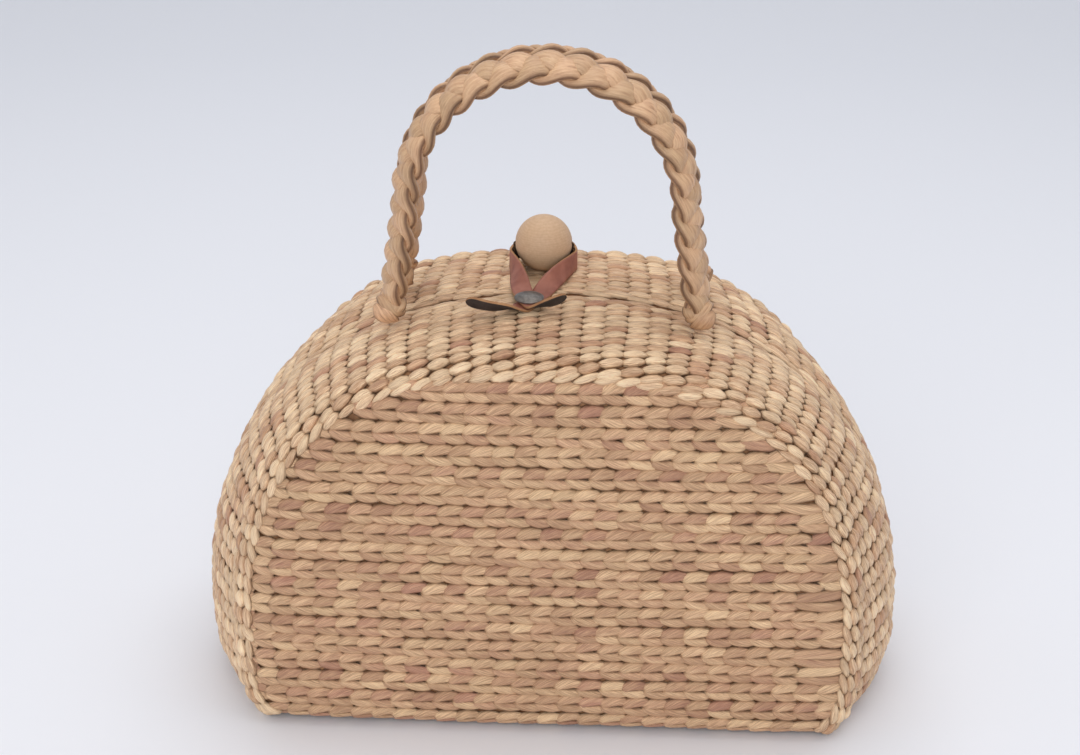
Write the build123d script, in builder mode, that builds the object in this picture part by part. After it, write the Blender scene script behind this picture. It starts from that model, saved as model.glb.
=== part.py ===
from build123d import *
import math
import os

# Woven dome handbag. Frame: origin under the middle of the base, +X to the right,
# +Y to the back, +Z up. The mouth lies in the plane Y = 0. Lengths are in millimetres.

# Woven body
body_width = 300.0
body_depth = 120.0
crown_height = 178.0
widest_level = 28.0        # height at which the body is widest
side_bulge = 18.5          # how far the gusset swells past its edge at the sides
crown_bulge = 2.5          # the same at the crown
edge_radius = 14.0         # soft edge between gusset and panel
base_edge_radius = 10.0    # soft edge between base and panel
mouth_corner = 16.0        # width of the bottom corner at the mouth
panel_corner = 10.0        # width of the bottom corner at the panel
mouth_fullness = 2.2       # 2 is an ellipse, more is squarer
panel_fullness = 2.7
wall = 4.0
mouth_gap = 0.3            # between the rims of the two trays
base_half_length = 116.0   # half of the base's woven strip behind the mouth
fold_setback = 0.45        # from the start of the soft edge back to the fold line
fold_clearance = 0.3       # round the base strip, where the back tray folds

# Weave
rib_count = 61             # twined ribs of the gusset, from foot to foot
rib_rise = 1.1
lining_ribs = 12           # coarser stretches of the smooth inside
shoulder = 0.25            # share of a ridge's width taken by each of its slopes
half_row = 4.85            # height of one half of a chevron row on a panel
row_rise = 1.0
row_margin = 2.5           # plain strip between the rows and the panel's outline

# Handles
handle_shift = -2.5        # the pair stands a little left of the middle
foot_spread = 62.5         # half distance between a handle's feet
foot_setback = 18.0        # from the mouth to a handle's feet
arch_radius = 56.0
handle_rise = 101.0        # from the feet to the middle of the grip
plait_width = 16.0
plait_thickness = 8.6
plait_edge = 2.1           # thickness left at the plait's two edges
plait_roundness = 2.5      # 2 is an elliptic section, more is squarer
plait_turn = 30.0          # degrees that the plait's flat side turns to the outside
plait_lobes = 30
lobe_rise = 0.9
lobe_slant = 0.22          # how far the lobes lean into a V, as a share of one lobe
foot_radius = 6.7
foot_rise = 3.5            # from a foot's middle up to where the plait comes out of its binding
foot_gap = 0.5             # between a bound foot and the weave
seat_gap = 0.3             # between a piece and the weave that carries it
handle_gap = 0.5           # between the two handles where they lean together

# Closure
ball_diameter = 24.0
ball_x = -5.0
ball_y = 26.0
bore_diameter = 4.0
cord_diameter = 0.8
cord_hole = 2.2
cord_bend = 0.8            # radius of the cord's bend at each end of the bore
cord_clearance = 0.15      # between the ball and the cord beside it
stopper_drop = 1.5         # slack of the cord under the weave
stopper_diameter = 5.0
stopper_height = 2.0
rivet_x = -9.0
rivet_y = -12.0
rivet_diameter = 12.0
rivet_dome = 2.2
rivet_rim = 0.5            # height of the straight rim under the dome
head_seat = 0.1            # between the leather and the rivet's head
post_diameter = 3.0
post_clearance = 0.2
washer_diameter = 9.0
washer_thickness = 0.8
washer_clearance = 0.05
washer_seat = 0.65         # between the weave's inside and the washer
strap_width = 10.5
strap_thickness = 1.2
strap_gap = 0.25           # between layers of leather, and between leather and ball
loop_reach = 1.8           # room between the ball's back and the loop
loop_clearance = 0.2       # between the cord and the loop beside it

half_width = body_width / 2
half_depth = body_depth / 2
edge_start = half_depth - edge_radius
fold_line = edge_start + fold_setback


def woven_inset(depth):
    """How far the section at this depth lies inside the mouth's section: side, crown and base."""
    swell = min(depth / edge_start, 1.0) ** 2
    lean = math.asin(min(max(depth - edge_start, 0.0) / edge_radius, 1.0))
    rounding = 1 - math.cos(lean)
    side = side_bulge * swell + edge_radius * rounding
    crown = crown_bulge * swell + edge_radius * rounding
    return side, crown, base_edge_radius * rounding


def dome_height(x, depth, offset=0.0):
    """Height of the smooth dome over x at this depth, pushed inwards by offset."""
    side, crown, _ = woven_inset(depth)
    fullness = mouth_fullness + (panel_fullness - mouth_fullness) * depth / half_depth
    reach = min(abs(x) / (half_width - side - offset), 1.0)
    rise = crown_height - crown - offset - widest_level
    return widest_level + rise * (1 - reach**fullness) ** (1 / fullness)


def dome_slope(x, depth):
    """Angle of the dome across the bag at x, in radians."""
    step = 0.5
    return math.atan2(dome_height(x - step, depth) - dome_height(x + step, depth), 2 * step)


def arch_points(depth, offset, steps=14):
    """Points of one section's arch, from the right foot over the crown to the left foot."""
    side, _, foot = woven_inset(depth)
    reach = half_width - side - offset
    corner = mouth_corner + (panel_corner - mouth_corner) * depth / half_depth
    low = foot + offset
    right = []
    for degrees in (90, 60, 30, 0):
        angle = math.radians(degrees)
        x = reach - corner + corner * math.cos(angle)
        right.append((x, widest_level - (widest_level - low) * math.sin(angle)))
    for k in range(1, steps + 1):
        x = reach * math.cos(math.radians(90 * k / steps))
        right.append((x, dome_height(x, depth, offset)))
    return right + [(-x, z) for x, z in reversed(right[:-1])]


def ridge_marks(count, rise):
    """Places along a run of flat-topped ridges, counted in ridges, each with its height."""
    marks = []
    for k in range(count):
        marks += [(k, 0.0), (k + shoulder, rise), (k + 1 - shoulder, rise)]
    return marks + [(count, 0.0)]


def woven_section(depth, side, offset=0.0, ribs=rib_count, rise=rib_rise):
    """Closed face of the body at this depth, with each rib of the weave as a ridge of its outline."""
    arch = Edge.make_spline([Vector(x, z) for x, z in arch_points(depth, offset)])
    low = arch.position_at(0).Y
    outline = []
    for mark, lift in ridge_marks(ribs, rise):
        along = arch.tangent_at(mark / ribs)
        point = arch.position_at(mark / ribs) + Vector(along.Y, -along.X) * lift
        outline.append((point.X, max(point.Y, low)))
    with BuildSketch(Plane.XZ.offset(side * depth)) as section:
        with BuildLine():
            Polyline(outline, close=True)
        make_face()
    return section.sketch


def woven_tray(side):
    """One half of the body: a panel with its half of the gusset, hollow and open at the mouth."""
    rim = mouth_gap / 2
    rounding = [edge_start + edge_radius * math.sin(math.radians(a)) for a in (0, 35, 65, 90)]
    outside = [woven_section(depth, side) for depth in [rim, edge_start / 2] + rounding]
    loft(outside, ruled=True)
    inner_depths = (0.0, edge_start / 2, edge_start, half_depth - wall)
    inside = [woven_section(depth, side, wall, lining_ribs, 0.0) for depth in inner_depths]
    loft(inside, ruled=True, mode=Mode.SUBTRACT)
    add(chevron_rows(side))


def chevron_rows(side):
    """Ridges along a panel, one for each half row of the twining."""
    _, crown, foot = woven_inset(half_depth)
    low = foot + row_margin
    count = int((crown_height - crown - row_margin - low) / half_row)
    face = -side * half_depth
    crest = face - side * row_rise
    root = face + side * row_rise
    rows = []
    for k in range(count):
        z = low + k * half_row
        reach = row_reach(z + (half_row if z > widest_level else 0.0))
        with BuildSketch(Plane.YZ) as ridge:
            with BuildLine():
                Polyline(
                    (root, z),
                    (face, z),
                    (crest, z + shoulder * half_row),
                    (crest, z + (1 - shoulder) * half_row),
                    (face, z + half_row),
                    (root, z + half_row),
                    close=True,
                )
            make_face()
        rows.append(extrude(ridge.sketch, amount=reach, both=True, mode=Mode.PRIVATE))
    return rows


def row_reach(z):
    """Half length of a panel's row at height z."""
    side, crown, _ = woven_inset(half_depth)
    reach = half_width - side - row_margin
    if z <= widest_level:
        return reach - panel_corner * (1 - z / widest_level)
    rise = crown_height - crown - widest_level
    return reach * (1 - min((z - widest_level) / rise, 1.0) ** panel_fullness) ** (1 / panel_fullness)


# Front tray: front panel, front half of the gusset and the whole base
rivet_seat = dome_height(rivet_x, -rivet_y) + rib_rise
with BuildPart() as front_tray:
    woven_tray(1)
    with BuildSketch(Plane.XY) as base_strip:
        with Locations((0, -wall)):
            Rectangle(
                2 * base_half_length, wall + fold_line - fold_clearance / 2, align=(Align.CENTER, Align.MIN)
            )
    extrude(amount=wall)
    with Locations((rivet_x, rivet_y, rivet_seat)):
        Cylinder(post_diameter / 2 + post_clearance, 4 * wall, mode=Mode.SUBTRACT)
front_tray.part.label = "front_tray"

# Back tray: back panel and back half of the gusset. It folds along the base's back edge.
cord_out = ball_diameter / 2 + cord_diameter / 2 + cord_clearance
with BuildPart() as back_tray:
    woven_tray(-1)
    with BuildSketch(Plane.XY.offset(-wall)) as base_room:
        with Locations((0, -wall)):
            Rectangle(
                2 * (base_half_length + fold_clearance),
                wall + fold_line + fold_clearance / 2,
                align=(Align.CENTER, Align.MIN),
            )
    extrude(amount=2 * wall + fold_clearance, mode=Mode.SUBTRACT)
    for x in (ball_x - cord_out, ball_x + cord_out):
        with Locations((x, ball_y, dome_height(x, ball_y))):
            Cylinder(cord_hole / 2, 4 * wall, mode=Mode.SUBTRACT)
back_tray.part.label = "back_tray"


# Handles: flat three-strand plaits bent into an arch, with their ends bound into round feet
def foot_seat(x):
    """Height of the middle of a bound foot that rests on the weave at x."""
    slope = dome_slope(x, foot_setback)
    return dome_height(x, foot_setback) + (foot_radius + foot_gap + rib_rise) / math.cos(slope)


foot_level = foot_seat(foot_spread)
plait_angle = math.radians(plait_turn)
plait_reach = plait_width / 2 * math.cos(plait_angle)
grip_top = handle_rise + plait_width / 2 * math.sin(plait_angle) + plait_edge / 2 + lobe_rise
handle_lean = math.atan((foot_setback - plait_reach - handle_gap / 2) / grip_top)


def handle_line():
    """Middle line of a handle, drawn upright, from the left foot over the grip to the right foot."""
    spring = handle_rise - arch_radius
    with BuildLine() as line:
        left = Line((-foot_spread, 0), (-arch_radius, spring))
        top = ThreePointArc((-arch_radius, spring), (0, handle_rise), (arch_radius, spring))
        right = Line((arch_radius, spring), (foot_spread, 0))
    return Wire([left, top, right])


def plait_section(share, side):
    """Band cut from the plait at this share of its half width, with each lobe of a strand as a ridge."""
    middle = handle_line()
    offset = share * plait_width / 2 * math.sin(plait_angle)
    half = max(plait_thickness / 2 * math.sqrt(1 - abs(share) ** plait_roundness), plait_edge / 2)
    slant = lobe_slant * (1 - 2 * abs(share))
    start = foot_rise / middle.length

    def at(mark, distance):
        place = mark + slant if 0 < mark < plait_lobes else mark
        place = start + (1 - 2 * start) * place / plait_lobes
        point = middle.position_at(place)
        along = middle.tangent_at(place)
        return point.X - along.Y * distance, point.Y + along.X * distance

    marks = ridge_marks(plait_lobes, lobe_rise)
    outer = [at(mark, offset + half + rise) for mark, rise in marks]
    inner = [at(mark, offset - half - rise) for mark, rise in reversed(marks)]
    plane = Plane(
        origin=(handle_shift, -side * foot_setback, foot_level),
        x_dir=(1, 0, 0),
        z_dir=(0, -math.cos(handle_lean), side * math.sin(handle_lean)),
    )
    with BuildSketch(plane.offset(-side * share * plait_reach)) as band:
        with BuildLine():
            Polyline(outer + inner, close=True)
        make_face()
    return band.sketch


def plaited_handle(side):
    """One handle: the plait lofted across its width, and its two bound feet."""
    loft([plait_section(share, side) for share in (-1.0, -0.6, 0.0, 0.6, 1.0)], ruled=True)
    for x in (handle_shift - foot_spread, handle_shift + foot_spread):
        with Locations((x, -side * foot_setback, min(foot_seat(x), foot_level))):
            Sphere(foot_radius)


with BuildPart() as front_handle:
    plaited_handle(1)
front_handle.part.label = "front_handle"

with BuildPart() as back_handle:
    plaited_handle(-1)
back_handle.part.label = "back_handle"


# Ball: turned wood with a bore from side to side
ball_level = dome_height(ball_x, ball_y) + rib_rise + seat_gap + ball_diameter / 2
with BuildPart() as clasp_ball:
    with Locations((ball_x, ball_y, ball_level)):
        Sphere(ball_diameter / 2)
        Cylinder(bore_diameter / 2, 2 * ball_diameter, rotation=(0, 90, 0), mode=Mode.SUBTRACT)
clasp_ball.part.label = "clasp_ball"

# Cord: through the ball's bore and straight down through the weave, with a stopper at each end
cord_foot = dome_height(ball_x, ball_y, wall) - stopper_drop
with BuildPart() as ball_cord:
    with BuildLine() as cord_line:
        FilletPolyline(
            (ball_x - cord_out, ball_y, cord_foot),
            (ball_x - cord_out, ball_y, ball_level),
            (ball_x + cord_out, ball_y, ball_level),
            (ball_x + cord_out, ball_y, cord_foot),
            radius=cord_bend,
        )
    with BuildSketch(Plane(origin=cord_line.line @ 0, z_dir=cord_line.line % 0)):
        Circle(cord_diameter / 2)
    sweep()
    with BuildSketch(Plane.XY.offset(cord_foot - stopper_height)):
        with Locations((ball_x - cord_out, ball_y), (ball_x + cord_out, ball_y)):
            Circle(stopper_diameter / 2)
    extrude(amount=stopper_height)
ball_cord.part.label = "ball_cord"


# Strap: one strip of leather, from its left tail under the rivet, round the ball and back
layer_low = rivet_seat + seat_gap + strap_thickness / 2
layer_high = layer_low + strap_thickness + strap_gap
loop_side = cord_out + cord_diameter / 2 + loop_clearance + strap_thickness / 2
loop_back = ball_y + ball_diameter / 2 + loop_reach + strap_thickness / 2


def strip_section(x, y, layer, heading, roll, lift=0.0):
    """Cross-section of the strip: heading runs from +Y towards +X, roll lifts the strip's right edge."""
    heading = math.radians(heading)
    roll = math.radians(roll)
    ahead = Vector(math.sin(heading), math.cos(heading), 0)
    sideways = Vector(math.cos(heading), -math.sin(heading), 0)
    across = sideways * math.cos(roll) + Vector(0, 0, 1) * math.sin(roll)
    z = layer + lift + strap_width / 2 * abs(math.sin(roll))
    with BuildSketch(Plane(origin=(x, y, z), x_dir=across, z_dir=ahead)) as strip:
        Rectangle(strap_width, strap_thickness)
    return strip.sketch


with BuildPart() as closure_strap:
    bend = math.sqrt(0.5)
    behind = loop_back - ball_y
    route = [
        (rivet_x - 25.0, rivet_y - 9.0, layer_low, 78, 48, 2.5),
        (rivet_x - 16.0, rivet_y - 9.5, layer_low, 78, 34, 0.8),
        (rivet_x - 9.0, rivet_y - 8.8, layer_low, 66, 10),
        (rivet_x - 3.2, rivet_y - 5.7, layer_low, 30, 0),
        (rivet_x + 3.2, rivet_y + 5.7, layer_low, 30, 0),
        (rivet_x + 6.5, rivet_y + 11.5, layer_low, 28, -35),
        (ball_x + 10.5, ball_y - 14.0, layer_low, 22, -66),
        (ball_x + loop_side, ball_y, layer_low, 0, -90),
        (ball_x + bend * loop_side, ball_y + bend * behind, layer_low, -45, -90),
        (ball_x, loop_back, layer_low, -90, -90),
        (ball_x - bend * loop_side, ball_y + bend * behind, layer_low, -135, -90),
        (ball_x - loop_side, ball_y, layer_low, -180, -90),
        (ball_x - 13.0, ball_y - 14.0, layer_low, -190, -66),
        (rivet_x - 4.5, rivet_y + 12.0, layer_high, -198, -35),
        (rivet_x - 2.6, rivet_y + 5.9, layer_high, -205, 0),
        (rivet_x + 2.6, rivet_y - 5.9, layer_high, -205, 0),
        (rivet_x + 8.0, rivet_y - 8.2, layer_high, -250, 14),
        (rivet_x + 15.5, rivet_y - 6.0, layer_high, -280, 44, 2.0),
    ]
    stations = [strip_section(*place) for place in route]
    for here, ahead in zip(stations, stations[1:]):
        loft([here, ahead], ruled=True)
    with Locations((rivet_x, rivet_y, layer_high)):
        Cylinder(post_diameter / 2 + post_clearance, 4 * strap_thickness, mode=Mode.SUBTRACT)
closure_strap.part.label = "closure_strap"

# Rivet: domed head and post, clamped through leather and weave on a washer inside
head_level = layer_high + strap_thickness / 2 + head_seat
washer_level = dome_height(rivet_x, -rivet_y, wall) - washer_seat
dome_sag = rivet_dome - rivet_rim
dome_radius = (rivet_diameter**2 / 4 + dome_sag**2) / (2 * dome_sag)
with BuildPart() as rivet:
    with BuildSketch(Plane.XY.offset(washer_level - washer_thickness)):
        with Locations((rivet_x, rivet_y)):
            Circle(post_diameter / 2)
    extrude(amount=head_level + rivet_rim - washer_level + washer_thickness)
    with BuildSketch(Plane(origin=(rivet_x, rivet_y, head_level), x_dir=(1, 0, 0), z_dir=(0, -1, 0))):
        with BuildLine():
            Polyline((0, rivet_dome), (0, 0), (rivet_diameter / 2, 0), (rivet_diameter / 2, rivet_rim))
            RadiusArc((rivet_diameter / 2, rivet_rim), (0, rivet_dome), -dome_radius)
        make_face()
    revolve(axis=Axis((rivet_x, rivet_y, 0), (0, 0, 1)))
rivet.part.label = "rivet"

with BuildPart() as rivet_washer:
    with BuildSketch(Plane.XY.offset(washer_level - washer_thickness)):
        with Locations((rivet_x, rivet_y)):
            Circle(washer_diameter / 2)
            Circle(post_diameter / 2 + washer_clearance, mode=Mode.SUBTRACT)
    extrude(amount=washer_thickness)
rivet_washer.part.label = "rivet_washer"

os.makedirs("parts", exist_ok=True)
export_step(front_tray.part, "parts/front_tray.step")
export_step(back_tray.part, "parts/back_tray.step")
export_step(front_handle.part, "parts/front_handle.step")
export_step(back_handle.part, "parts/back_handle.step")
export_step(clasp_ball.part, "parts/clasp_ball.step")
export_step(ball_cord.part, "parts/ball_cord.step")
export_step(closure_strap.part, "parts/closure_strap.step")
export_step(rivet.part, "parts/rivet.step")
export_step(rivet_washer.part, "parts/rivet_washer.step")
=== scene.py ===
# %% [markdown]
# Woven dome handbag.
#
# The bag is twined from flat strips of dried water hyacinth. Two D-shaped panels face front and back.
# A gusset runs over the arch between them, two plaited handles stand on it, and a leather loop over
# a wooden ball holds the mouth shut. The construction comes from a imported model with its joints.
# This script gives it its looks, and every length here is in metres.

# %% Load the frame
import math
import random

import bmesh
import bpy
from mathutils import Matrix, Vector


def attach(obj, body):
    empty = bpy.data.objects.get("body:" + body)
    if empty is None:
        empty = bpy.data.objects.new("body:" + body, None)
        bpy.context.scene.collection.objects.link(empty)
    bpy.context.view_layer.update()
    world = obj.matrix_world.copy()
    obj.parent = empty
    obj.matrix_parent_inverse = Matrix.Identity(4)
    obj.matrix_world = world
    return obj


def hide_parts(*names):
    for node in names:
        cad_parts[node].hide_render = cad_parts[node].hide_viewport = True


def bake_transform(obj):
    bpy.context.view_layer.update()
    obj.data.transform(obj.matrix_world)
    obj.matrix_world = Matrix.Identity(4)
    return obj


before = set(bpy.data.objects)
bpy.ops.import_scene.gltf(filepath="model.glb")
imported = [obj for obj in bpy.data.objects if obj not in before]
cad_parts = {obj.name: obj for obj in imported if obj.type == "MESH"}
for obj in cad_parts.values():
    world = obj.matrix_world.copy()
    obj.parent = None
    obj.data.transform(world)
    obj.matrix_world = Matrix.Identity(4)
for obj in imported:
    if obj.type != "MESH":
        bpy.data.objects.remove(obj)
bpy.context.view_layer.update()

# %% [markdown]
# The camera comes first, so that everything after it can be judged in its view. The photograph was
# taken from a little above and slightly to the right. The lens is worked out from the focal length
# in pixels, because a lens in millimetres means nothing without the sensor it belongs to.

# %% Camera
IMAGE_WIDTH = 1080
FOCAL_PIXELS = 1929
SENSOR = 36
CAMERA_RISE = math.radians(26.9)
CAMERA_TURN = math.radians(3.1)
CAMERA_DISTANCE = 0.815
AIM_LEVEL = 0.1398
AIM_LEFT = 0.0052

sight = Vector((
    -math.sin(CAMERA_TURN) * math.cos(CAMERA_RISE),
    math.cos(CAMERA_TURN) * math.cos(CAMERA_RISE),
    -math.sin(CAMERA_RISE),
))
to_right = Vector((math.cos(CAMERA_TURN), math.sin(CAMERA_TURN), 0))
target = Vector((0, 0, AIM_LEVEL)) - to_right * AIM_LEFT

camera_data = bpy.data.cameras.new("camera")
camera_data.sensor_width = SENSOR
camera_data.lens = FOCAL_PIXELS * SENSOR / IMAGE_WIDTH
camera = bpy.data.objects.new("camera", camera_data)
camera.location = target - sight * CAMERA_DISTANCE
camera.rotation_mode = "QUATERNION"
camera.rotation_quaternion = sight.to_track_quat("-Z", "Y")
bpy.context.scene.collection.objects.link(camera)
bpy.context.scene.camera = camera
print("lens", round(camera_data.lens, 1), "mm")

# %% [markdown]
# The woven body follows one formula: a rounded arch whose size depends on the depth from the mouth.
# The arch is a superellipse, which is an ellipse with an adjustable exponent, so one number makes
# its shoulders rounder or squarer. Formulas are chosen over a scanned or sculpted form because every
# stitch can ask them where the surface is.

# %% Measures of the body
HALF_WIDTH = 0.150
HALF_DEPTH = 0.060
CROWN = 0.178
WIDEST_LEVEL = 0.028
SIDE_BULGE = 0.0185
CROWN_BULGE = 0.0025
EDGE_RADIUS = 0.014
BASE_EDGE_RADIUS = 0.010
MOUTH_CORNER = 0.016
PANEL_CORNER = 0.010
MOUTH_FULLNESS = 2.2
PANEL_FULLNESS = 2.7
EDGE_START = HALF_DEPTH - EDGE_RADIUS
FOLD_LINE = EDGE_START + 0.00045
BASE_HALF_LENGTH = 0.116


def clamp(value):
    """The value, kept between 0 and 1."""
    return min(max(value, 0), 1)


def inset(depth):
    """How far the section at this depth lies inside the mouth's section: side, crown and base."""
    swell = min(depth / EDGE_START, 1.0) ** 2
    rounding = 1 - math.cos(math.asin(clamp((depth - EDGE_START) / EDGE_RADIUS)))
    side = SIDE_BULGE * swell + EDGE_RADIUS * rounding
    crown = CROWN_BULGE * swell + EDGE_RADIUS * rounding
    return side, crown, BASE_EDGE_RADIUS * rounding


def fullness(depth):
    return MOUTH_FULLNESS + (PANEL_FULLNESS - MOUTH_FULLNESS) * depth / HALF_DEPTH


def corner_width(depth):
    return MOUTH_CORNER + (PANEL_CORNER - MOUTH_CORNER) * depth / HALF_DEPTH


print("inset at the panel", [round(v, 4) for v in inset(HALF_DEPTH)])


# %% [markdown]
# A section is the outline of the bag where it is cut parallel to the panels. Below its widest level
# it is a rounded corner, and above that it is the dome. It is kept as a row of points, because a row
# of points can be measured, and stitches have to be spaced evenly along the real length.

# %% Sections
CORNER_STEPS = 8
DOME_STEPS = 60


def dome_height(x, depth):
    """Height of the dome over x at this depth."""
    side, crown, _ = inset(depth)
    power = fullness(depth)
    reach = min(abs(x) / (HALF_WIDTH - side), 1.0)
    return WIDEST_LEVEL + (CROWN - crown - WIDEST_LEVEL) * (1 - reach**power) ** (1 / power)


def arch(depth):
    """Points (x, z) of one section, from the right foot over the crown to the left foot."""
    side, _, foot = inset(depth)
    reach = HALF_WIDTH - side
    corner = corner_width(depth)
    right = []
    for k in range(CORNER_STEPS):
        angle = math.radians(90 - 90 * k / CORNER_STEPS)
        x = reach - corner + corner * math.cos(angle)
        right.append((x, WIDEST_LEVEL - (WIDEST_LEVEL - foot) * math.sin(angle)))
    for k in range(DOME_STEPS + 1):
        x = reach * math.cos(math.radians(90 * k / DOME_STEPS))
        right.append((x, dome_height(x, depth)))
    return right + [(-x, z) for x, z in reversed(right[:-1])]


print("points in one section", len(arch(0.0)))


# %% [markdown]
# Stitches are laid on the gusset by two coordinates: their share of the way along the arch, and their
# depth from the mouth. So each section can be asked for the point at any share of its length, and a
# fixed number of sections, from the mouth to the panel, stands ready to be mixed.

# %% Shares of a section
DEPTH_STEPS = 48


class Outline:
    """A section that can be asked for the point at a share of its length."""

    def __init__(self, depth):
        self.points = [Vector((x, z)) for x, z in arch(depth)]
        self.marks = [0.0]
        for a, b in zip(self.points, self.points[1:]):
            self.marks.append(self.marks[-1] + (b - a).length)
        self.length = self.marks[-1]

    def at(self, share):
        goal = clamp(share) * self.length
        low, high = 0, len(self.marks) - 1
        while high - low > 1:
            middle = (low + high) // 2
            if self.marks[middle] <= goal:
                low = middle
            else:
                high = middle
        span = self.marks[high] - self.marks[low]
        return self.points[low].lerp(self.points[high], (goal - self.marks[low]) / span)


outlines = [Outline(HALF_DEPTH * k / DEPTH_STEPS) for k in range(DEPTH_STEPS + 1)]
print("arch length at the mouth", round(outlines[0].length, 4))
print("arch length at the panel", round(outlines[-1].length, 4))


# %% [markdown]
# From the mouth to the panel's flat face the surface first runs level and then rolls over the soft
# edge. A stitch should keep its size as it rolls, so its place is measured along that path and not
# in depth. A short table, filled by walking the path once, turns one into the other.

# %% Travel along the gusset
LEVEL_STEPS = 40
ROLL_STEPS = 24


def gusset_point(share, depth):
    """Point on the front half's skin at this share of the arch and this depth."""
    place = min(depth / HALF_DEPTH, 1.0) * DEPTH_STEPS
    k = min(int(place), DEPTH_STEPS - 1)
    flat = outlines[k].at(share).lerp(outlines[k + 1].at(share), place - k)
    return Vector((flat.x, -depth, flat.y))


def walk(share):
    """Distances from the mouth along the skin, with the depth at each."""
    depths = [EDGE_START * k / LEVEL_STEPS for k in range(1, LEVEL_STEPS + 1)]
    for k in range(1, ROLL_STEPS + 1):
        depths.append(EDGE_START + EDGE_RADIUS * math.sin(math.radians(90 * k / ROLL_STEPS)))
    path = [(0.0, 0.0)]
    last = gusset_point(share, 0.0)
    for depth in depths:
        point = gusset_point(share, depth)
        path.append((path[-1][0] + (point - last).length, depth))
        last = point
    return path


def depth_at(path, travel):
    """The depth at this distance along the path."""
    for (a, depth_a), (b, depth_b) in zip(path, path[1:]):
        if b >= travel:
            return depth_a + (depth_b - depth_a) * (travel - a) / max(b - a, 1e-9)
    return path[-1][1]


crown_path = walk(0.5)
print("from mouth to panel over the crown", round(crown_path[-1][0], 4))


# %% [markdown]
# Seen from the front, the panel is flat in the middle and rolls back at its outline. To find how
# deep the skin lies at any (x, z), the script asks which section just contains that point, and
# halves the search range until it knows. The flat part also swells a little, as a full bag does.

# %% Depth of a panel
PANEL_SWELL = 0.0025
SWELL_HALF_WIDTH = 0.125
SWELL_HALF_HEIGHT = 0.078
PANEL_MIDDLE = 0.080
SEARCH_MARGIN = 0.006
SEARCHES = 12


def last_place(near, far, holds):
    """The farthest place between near and far for which holds is true, found by halving the range."""
    for _ in range(SEARCHES):
        middle = (near + far) / 2
        if holds(middle):
            near = middle
        else:
            far = middle
    return near


def inside(x, z, depth):
    """True where (x, z) lies within the section at this depth."""
    side, crown, foot = inset(depth)
    reach = HALF_WIDTH - side
    if z >= WIDEST_LEVEL:
        power = fullness(depth)
        rise = CROWN - crown - WIDEST_LEVEL
        return (abs(x) / reach) ** power + ((z - WIDEST_LEVEL) / rise) ** power <= 1
    if z < foot:
        return False
    corner = corner_width(depth)
    low = math.sqrt(max(1 - ((WIDEST_LEVEL - z) / (WIDEST_LEVEL - foot)) ** 2, 0))
    return abs(x) <= reach - corner + corner * low


def panel_depth(x, z):
    """How deep the skin lies at (x, z), on the flat face or on the soft edge round it."""
    if inside(x, z, HALF_DEPTH):
        across = max(1 - (x / SWELL_HALF_WIDTH) ** 2, 0)
        upright = max(1 - ((z - PANEL_MIDDLE) / SWELL_HALF_HEIGHT) ** 2, 0)
        return HALF_DEPTH + PANEL_SWELL * across * upright
    return last_place(EDGE_START - SEARCH_MARGIN, HALF_DEPTH, lambda depth: inside(x, z, depth))


print("panel depth at its middle", round(panel_depth(0, PANEL_MIDDLE), 4))


# %% [markdown]
# A material is a tree of nodes, and shader maths reads best as a formula. This small class wraps one
# output socket, so that 1 - mask * 0.5 adds the Math nodes by itself. The same tree could be linked
# by hand in the editor, but a formula is shorter and can be used for more than one material.

# %% Arithmetic with sockets
class Wire:
    """A number on a socket. Arithmetic with it adds Math nodes."""

    def __init__(self, tree, socket):
        self.tree, self.socket = tree, socket

    def math(self, operation, left, right):
        node = self.tree.nodes.new("ShaderNodeMath")
        node.operation = operation
        for slot, value in zip(node.inputs, (left, right)):
            if isinstance(value, Wire):
                self.tree.links.new(value.socket, slot)
            else:
                slot.default_value = value
        return Wire(self.tree, node.outputs[0])

    def __add__(self, other):
        return self.math("ADD", self, other)

    __radd__ = __add__

    def __mul__(self, other):
        return self.math("MULTIPLY", self, other)

    def __sub__(self, other):
        return self.math("SUBTRACT", self, other)

    def __rsub__(self, other):
        return self.math("SUBTRACT", other, self)

    def __pow__(self, other):
        return self.math("POWER", self, other)


print("sockets can be added, subtracted, multiplied and raised to a power")


# %% [markdown]
# Finish holds a material while it is built. Its node method adds any node: its kind, its settings,
# and what goes into its sockets. The last step is always the Principled shader, which turns a few
# numbers, such as base colour and roughness, into a real surface.

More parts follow.
